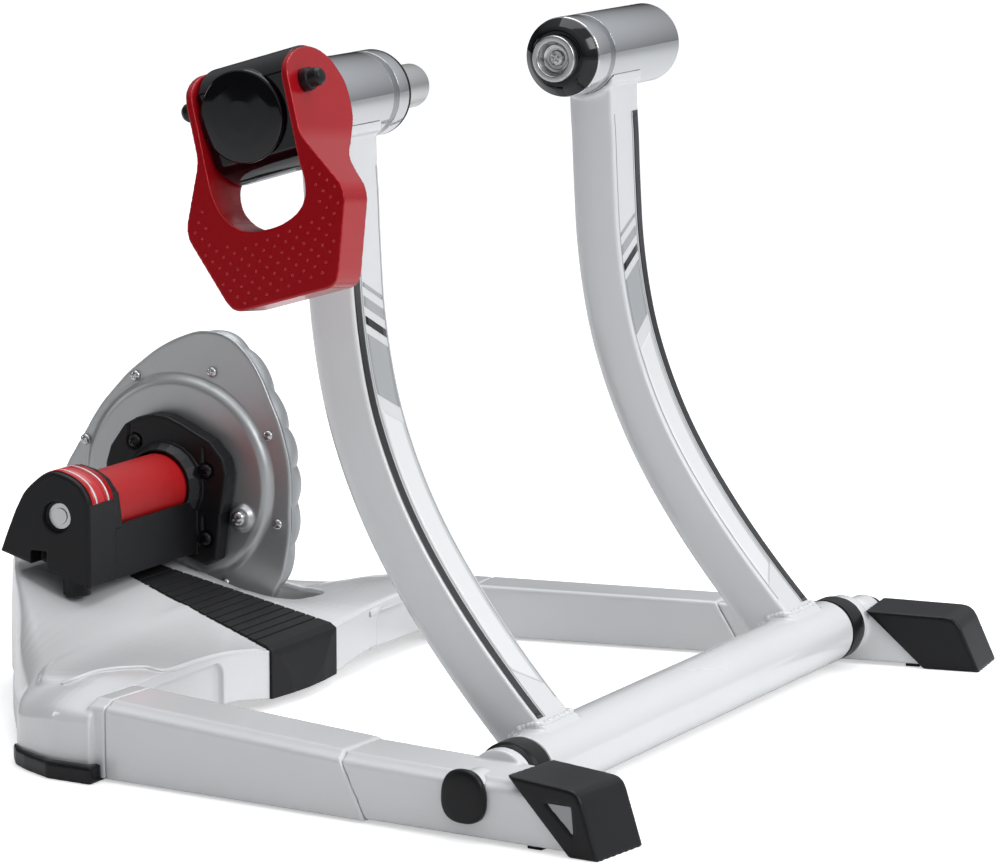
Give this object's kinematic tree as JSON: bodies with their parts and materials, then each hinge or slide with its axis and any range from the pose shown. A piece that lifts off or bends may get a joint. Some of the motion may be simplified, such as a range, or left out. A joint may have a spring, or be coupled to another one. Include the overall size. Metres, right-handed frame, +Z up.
{
  "type": "turbo trainer",
  "caption": "Wheel-on turbo trainer: moulded base with splayed legs, folding upright frame, cam-lever axle clamps and a finned fluid resistance unit with a roller",
  "frame": {"origin": "centre of the footprint, on the floor", "axes": "+X is forward, from the resistance unit to the front feet; +Y is towards the resistance casing's side; +Z is up"},
  "size_m": [0.5612, 0.5982, 0.4307],
  "materials": {
    "white_gloss": "smooth moulded white plastic with a soft gloss",
    "white_frame": "white powder-coated steel tube",
    "tread_rubber": "matte black rubber",
    "black_foot": "satin black plastic, fine grain",
    "bolt_steel": "bright machined steel",
    "chrome_tube": "mirror chromed steel",
    "clamp_band": "satin ring",
    "gloss_black": "high gloss black",
    "thrust_alloy": "turned bare aluminium",
    "lever_red": "metallic red lacquer on cast metal",
    "black_pin": "satin black",
    "roller_red": "red elastomer, satin",
    "label_red": "printed red band",
    "holder_black": "grained black nylon",
    "plate_alloy": "pressed aluminium, satin",
    "casing_alloy": "die-cast aluminium"
  },
  "bodies": {
    "base": {"base_body": "white_gloss", "near_leg_front": "white_gloss", "far_leg_front": "white_gloss", "near_leg_sleeve": "white_gloss", "far_leg_sleeve": "white_gloss", "tread_strip": "tread_rubber", "mount_pad": "tread_rubber", "near_under_pad": "tread_rubber", "far_under_pad": "tread_rubber", "unit_gasket": "tread_rubber", "shaft_seal": "tread_rubber", "near_front_foot": "black_foot", "far_front_foot": "black_foot", "near_rear_foot": "black_foot", "far_rear_foot": "black_foot", "near_bolt_cover": "black_foot", "far_bolt_cover": "black_foot", "near_pivot_bolt": "bolt_steel", "far_pivot_bolt": "bolt_steel", "near_bearing": "bolt_steel", "far_bearing": "bolt_steel", "filler_screw": "bolt_steel", "rim_screw_1": "bolt_steel", "rim_screw_2": "bolt_steel", "rim_screw_3": "bolt_steel", "rim_screw_4": "bolt_steel", "rim_screw_5": "bolt_steel", "rim_screw_6": "bolt_steel", "rim_screw_7": "bolt_steel", "rim_screw_8": "bolt_steel", "flange_screw_1": "black_pin", "flange_screw_2": "black_pin", "flange_screw_3": "black_pin", "holder_label": "label_red", "roller_holder": "holder_black", "front_plate": "plate_alloy", "finned_casing": "casing_alloy"},
    "frame": {"folding_frame": "white_frame", "near_pivot_bush": "black_foot", "far_pivot_bush": "black_foot", "near_clamp_tube": "chrome_tube", "near_clamp_band": "clamp_band", "near_end_ring": "gloss_black", "far_clamp_tube": "chrome_tube", "far_clamp_band": "clamp_band", "far_end_cap": "gloss_black", "far_lock_ring": "gloss_black", "cam_housing": "gloss_black", "cap_disc": "gloss_black"},
    "cup": {"far_hub_cup": "thrust_alloy", "far_cup_screw": "bolt_steel"},
    "plunger": {"thrust_plunger": "thrust_alloy"},
    "lever": {"clamp_lever": "lever_red", "lever_pin": "black_pin", "lever_pin_nut": "black_pin", "thrust_cam": "bolt_steel"},
    "rotor": {"roller": "roller_red", "roller_shaft": "bolt_steel", "impeller": "casing_alloy"}
  },
  "joints": [
    {"name": "frame_fold", "type": "hinge", "parent": "base", "child": "frame", "pos_m": [0.18935, 0, 0.025], "axis": [0, 1, 0], "range_deg": [-38, 100]},
    {"name": "lever_turn", "type": "hinge", "parent": "frame", "child": "lever", "pos_m": [0.04657, -0.2653, 0.40342], "axis": [-0.9593, 0, -0.2823], "range_deg": [0, 100]},
    {"name": "plunger_slide", "type": "slide", "parent": "frame", "child": "plunger", "axis": [0, -1, 0], "range_m": [0, 0.0031]},
    {"name": "cup_adjust", "type": "slide", "parent": "frame", "child": "cup", "axis": [0, -1, 0], "range_m": [0, 0.015]},
    {"name": "rotor_spin", "type": "hinge", "parent": "base", "child": "rotor", "pos_m": [-0.19195, 0, 0.1181], "axis": [0, 1, 0], "continuous": true}
  ],
  "couplings": [
    {"joint": "plunger_slide", "follows": "lever_turn", "m_per_rad": 0.00171}
  ]
}
